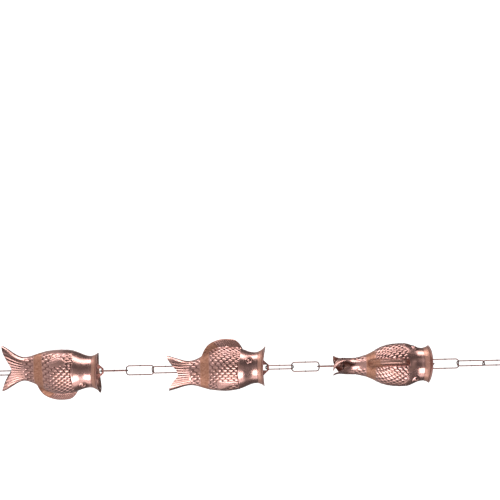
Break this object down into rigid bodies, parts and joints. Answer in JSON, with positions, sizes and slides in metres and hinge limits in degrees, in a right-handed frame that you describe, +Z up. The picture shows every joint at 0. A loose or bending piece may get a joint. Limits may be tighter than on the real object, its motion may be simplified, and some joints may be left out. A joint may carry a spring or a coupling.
{
  "type": "rain chain",
  "caption": "Copper rain chain of hollow open-mouthed fish with scales, joined by welded wire links; rain runs down through each fish and along the links.",
  "frame": {"origin": "where a hook bears on the inside of the top link's upper bar", "axes": "+Z up along the hanging chain, -Y towards the viewer, -X to the middle fish's back"},
  "size_m": [0.076, 0.0693, 0.6842],
  "materials": {
    "shell": "polished copper",
    "bracket": "satin copper",
    "wire": "satin copper"
  },
  "bodies": {
    "link_01": {"link_01": "wire"},
    "link_02": {"link_02": "wire"},
    "link_03": {"link_03": "wire"},
    "upper_fish": {"upper_fish_left_half": "shell", "upper_fish_right_half": "shell", "upper_fish_mouth_bracket": "bracket", "upper_fish_tail_pin": "wire"},
    "link_04": {"link_04": "wire"},
    "link_05": {"link_05": "wire"},
    "link_06": {"link_06": "wire"},
    "middle_fish": {"middle_fish_left_half": "shell", "middle_fish_right_half": "shell", "middle_fish_mouth_bracket": "bracket", "middle_fish_tail_pin": "wire"},
    "link_07": {"link_07": "wire"},
    "link_08": {"link_08": "wire"},
    "link_09": {"link_09": "wire"},
    "lower_fish": {"lower_fish_left_half": "shell", "lower_fish_right_half": "shell", "lower_fish_mouth_bracket": "bracket", "lower_fish_tail_pin": "wire"},
    "link_10": {"link_10": "wire"}
  },
  "joints": [
    {"name": "link_02_swing", "type": "hinge", "parent": "link_01", "child": "link_02", "pos_m": [0, 0, -0.0348], "axis": [0.5736, 0.8192, 0], "range_deg": [-60, 60]},
    {"name": "link_03_swing", "type": "hinge", "parent": "link_02", "child": "link_03", "pos_m": [0, 0, -0.0685], "axis": [-0.5, 0.866, 0], "range_deg": [-60, 60]},
    {"name": "upper_fish_swing", "type": "hinge", "parent": "link_03", "child": "upper_fish", "pos_m": [0, 0, -0.1022], "axis": [-1, 0, 0], "range_deg": [-60, 60]},
    {"name": "link_04_swing", "type": "hinge", "parent": "upper_fish", "child": "link_04", "pos_m": [0, 0, -0.21697], "axis": [-0.9963, 0.0855, 0], "range_deg": [-50, 26]},
    {"name": "link_05_swing", "type": "hinge", "parent": "link_04", "child": "link_05", "pos_m": [0, 0, -0.25047], "axis": [0, -1, 0], "range_deg": [-60, 60]},
    {"name": "link_06_swing", "type": "hinge", "parent": "link_05", "child": "link_06", "pos_m": [0, 0, -0.28417], "axis": [1, 0, 0], "range_deg": [-60, 60]},
    {"name": "middle_fish_swing", "type": "hinge", "parent": "link_06", "child": "middle_fish", "pos_m": [0, 0, -0.31787], "axis": [0.454, 0.891, 0], "range_deg": [-60, 60]},
    {"name": "link_07_swing", "type": "hinge", "parent": "middle_fish", "child": "link_07", "pos_m": [0, 0, -0.43264], "axis": [0, -1, 0], "range_deg": [-30, 50]},
    {"name": "link_08_swing", "type": "hinge", "parent": "link_07", "child": "link_08", "pos_m": [0, 0, -0.46614], "axis": [0.7431, 0.6691, 0], "range_deg": [-60, 60]},
    {"name": "link_09_swing", "type": "hinge", "parent": "link_08", "child": "link_09", "pos_m": [0, 0, -0.49984], "axis": [1, 0, 0], "range_deg": [-60, 60]},
    {"name": "lower_fish_swing", "type": "hinge", "parent": "link_09", "child": "lower_fish", "pos_m": [0, 0, -0.53354], "axis": [0, 1, 0], "range_deg": [-60, 60]},
    {"name": "link_10_swing", "type": "hinge", "parent": "lower_fish", "child": "link_10", "pos_m": [0, 0, -0.64831], "axis": [-0.2924, 0.9563, 0], "range_deg": [-36, 50]}
  ]
}
